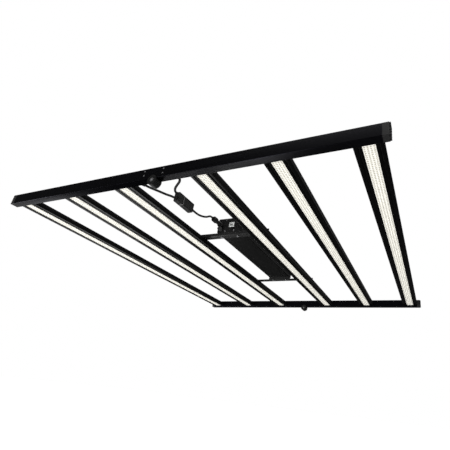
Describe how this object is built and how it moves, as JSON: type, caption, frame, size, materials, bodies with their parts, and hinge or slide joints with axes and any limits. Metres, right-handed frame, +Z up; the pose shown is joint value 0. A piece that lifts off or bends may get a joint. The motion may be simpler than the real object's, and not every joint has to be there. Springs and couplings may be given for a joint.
{
  "type": "led grow light",
  "caption": "Flat folding frame of parallel LED bars between two cross beams, hinged at mid-length, with a long driver across the middle and leads from a junction box.",
  "frame": {"origin": "middle of the open frame, at the level of the lowest point of the hinge ears under the beams", "axes": "+X along the cross beams towards the half that carries the driver, +Y along the LED bars away from the lead end, +Z up, LEDs facing -Z"},
  "size_m": [1.06, 1.11, 0.1012],
  "materials": {
    "anodised_beam": "black anodised, satin",
    "anodised_bar": "black anodised, satin, fine extrusion lines",
    "moulded_cap": "black moulded, fine grain",
    "cast_black": "black powder coat on cast zinc",
    "zinc_steel": "zinc plated",
    "led_board": "white solder mask with rows of pale phosphor emitters",
    "bright_screw": "bright zinc plated",
    "lead_sheath": "black flexible sheath, slight sheen",
    "painted_rail": "black painted pressed steel",
    "rubber_pad": "black rubber",
    "driver_case": "dark grey anodised extrusion",
    "driver_cap": "black powder coat, fine texture",
    "circuit_board": "green solder mask",
    "ferrite": "dark ferrite and yellow tape",
    "capacitor_sleeve": "shrink sleeve",
    "circuit_part": "moulded package",
    "gland_nylon": "black nylon",
    "port_plastic": "pale moulded socket",
    "splitter_plastic": "black moulded, fine grain",
    "splitter_seal": "grey gasket",
    "knob_plastic": "dark grey moulded"
  },
  "bodies": {
    "right_half": {"beam_near_right": "anodised_beam", "end_cap_near_right": "moulded_cap", "hinge_block_near_right": "cast_black", "beam_far_right": "anodised_beam", "end_cap_far_right": "moulded_cap", "hinge_block_far_right": "cast_black", "bar_inner_right": "anodised_bar", "led_board_inner_right": "led_board", "bar_middle_right": "anodised_bar", "led_board_middle_right": "led_board", "bar_outer_right": "anodised_bar", "led_board_outer_right": "led_board", "bar_tongues_right": "zinc_steel", "tongue_screws_right": "bright_screw", "hinge_screws_right": "bright_screw", "hanging_inserts_right": "bright_screw", "harness_right": "lead_sheath", "beam_gland_right": "gland_nylon", "rail_near": "painted_rail", "rail_far": "painted_rail", "rail_bolts": "bright_screw", "rail_pads": "rubber_pad", "driver_feet": "painted_rail", "driver_case": "driver_case", "driver_cap_near": "driver_cap", "driver_cap_far": "driver_cap", "driver_cap_screws": "bright_screw", "driver_circuit_board": "circuit_board", "driver_transformers": "ferrite", "driver_capacitors": "capacitor_sleeve", "driver_switches": "circuit_part", "driver_output_gland": "gland_nylon", "driver_mains_inlet": "gland_nylon", "driver_control_port": "port_plastic", "splitter_body": "splitter_plastic", "splitter_cover": "splitter_plastic", "splitter_seal": "splitter_seal", "lead_left": "lead_sheath", "lead_right": "lead_sheath", "lead_driver": "lead_sheath"},
    "left_half": {"beam_near_left": "anodised_beam", "end_cap_near_left": "moulded_cap", "hinge_block_near_left": "cast_black", "beam_far_left": "anodised_beam", "end_cap_far_left": "moulded_cap", "hinge_block_far_left": "cast_black", "bar_inner_left": "anodised_bar", "led_board_inner_left": "led_board", "bar_middle_left": "anodised_bar", "led_board_middle_left": "led_board", "bar_outer_left": "anodised_bar", "led_board_outer_left": "led_board", "bar_tongues_left": "zinc_steel", "tongue_screws_left": "bright_screw", "hinge_screws_left": "bright_screw", "hanging_inserts_left": "bright_screw", "harness_left": "lead_sheath", "beam_gland_left": "gland_nylon", "hinge_pins": "bright_screw"},
    "dimmer": {"dimmer_knob": "knob_plastic"}
  },
  "joints": [
    {"name": "fold", "type": "hinge", "parent": "right_half", "child": "left_half", "pos_m": [0, 0, 0.013], "axis": [0, -1, 0], "range_deg": [0, 180]},
    {"name": "dimmer_turn", "type": "hinge", "parent": "right_half", "child": "dimmer", "pos_m": [-0.033, -0.22, 0.0632], "axis": [0, -1, 0], "range_deg": [-135, 135]}
  ]
}
